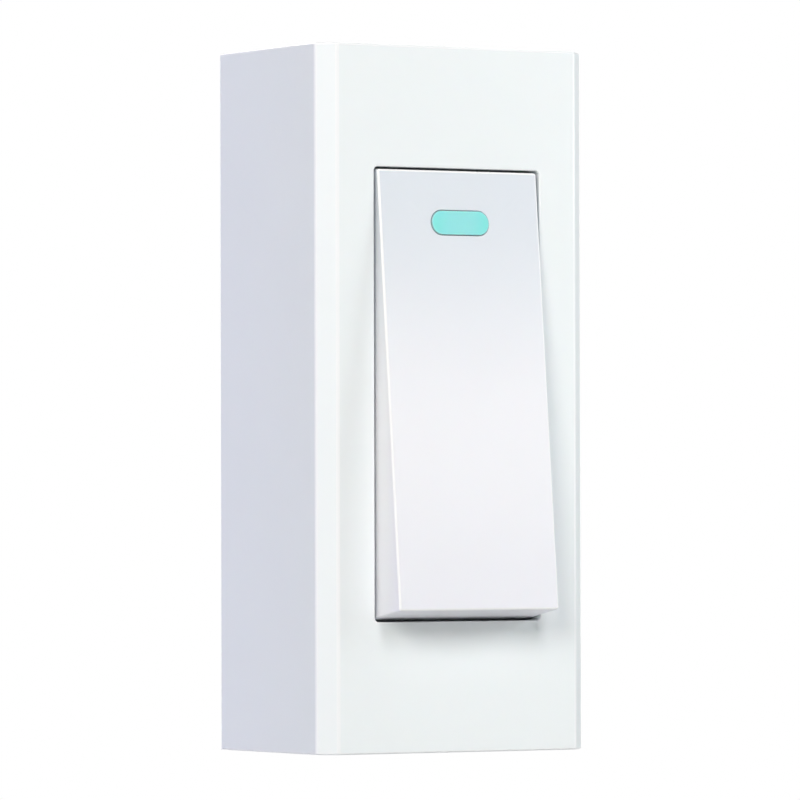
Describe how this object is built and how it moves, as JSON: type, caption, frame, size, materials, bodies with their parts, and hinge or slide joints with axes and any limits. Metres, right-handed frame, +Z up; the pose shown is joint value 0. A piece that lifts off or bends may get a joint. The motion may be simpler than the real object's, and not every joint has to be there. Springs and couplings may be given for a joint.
{
  "type": "surface-mounted light switch",
  "caption": "Narrow surface-mounted light switch: deep bevelled cover, tilting rocker with a teal indicator lens, and a two-way contact mechanism on a wall plate.",
  "frame": {"origin": "centre of the cover's back edge outline, on the wall plane", "axes": "+Z up along the switch's long side, +Y into the wall, front facing -Y, +X to the right seen from the front"},
  "size_m": [0.038, 0.03, 0.086],
  "materials": {
    "cover": "smooth satin moulding, very pale cool white",
    "base_plate": "fine matt moulding",
    "housing": "fine matt insulating moulding",
    "contact_guard": "dark matt moulding",
    "rocker": "smooth satin moulding, cool white",
    "indicator_lens": "translucent teal, smooth",
    "plunger": "slippery natural resin",
    "spring_wire": "drawn wire",
    "contact_metal": "stamped strip",
    "silver": "bright contact metal",
    "cage": "plated",
    "screw": "plated"
  },
  "bodies": {
    "case": {"cover": "cover", "base_plate": "base_plate", "housing": "housing", "contact_guard": "contact_guard", "upper_fixed_contact": "silver", "lower_fixed_contact": "silver", "upper_terminal": "contact_metal", "lower_terminal": "contact_metal", "common_terminal": "contact_metal", "upper_cage": "cage", "lower_cage": "cage", "common_cage": "cage", "terminal_screws": "screw", "housing_screws": "screw"},
    "rocker": {"rocker": "rocker", "indicator_lens": "indicator_lens", "plunger_spring": "spring_wire"},
    "plunger": {"plunger": "plunger"},
    "contact_arm": {"contact_arm": "contact_metal", "upper_moving_contact": "silver", "lower_moving_contact": "silver"}
  },
  "joints": [
    {"name": "rocker_tilt", "type": "hinge", "parent": "case", "child": "rocker", "pos_m": [0, -0.0215, 0.00055], "axis": [1, 0, 0], "range_deg": [0, 10.7]},
    {"name": "plunger_travel", "type": "slide", "parent": "rocker", "child": "plunger", "axis": [0, -0.9956, 0.0932], "range_m": [0, 0.0045], "stiffness_N_per_m": 60, "deforming": ["plunger_spring"]},
    {"name": "arm_tilt", "type": "hinge", "parent": "case", "child": "contact_arm", "pos_m": [0, -0.01239, 0.00055], "axis": [1, 0, 0], "range_deg": [-16.06, 0]}
  ],
  "couplings": [
    {"joint": "arm_tilt", "follows": "rocker_tilt", "ratio": -1.5}
  ]
}
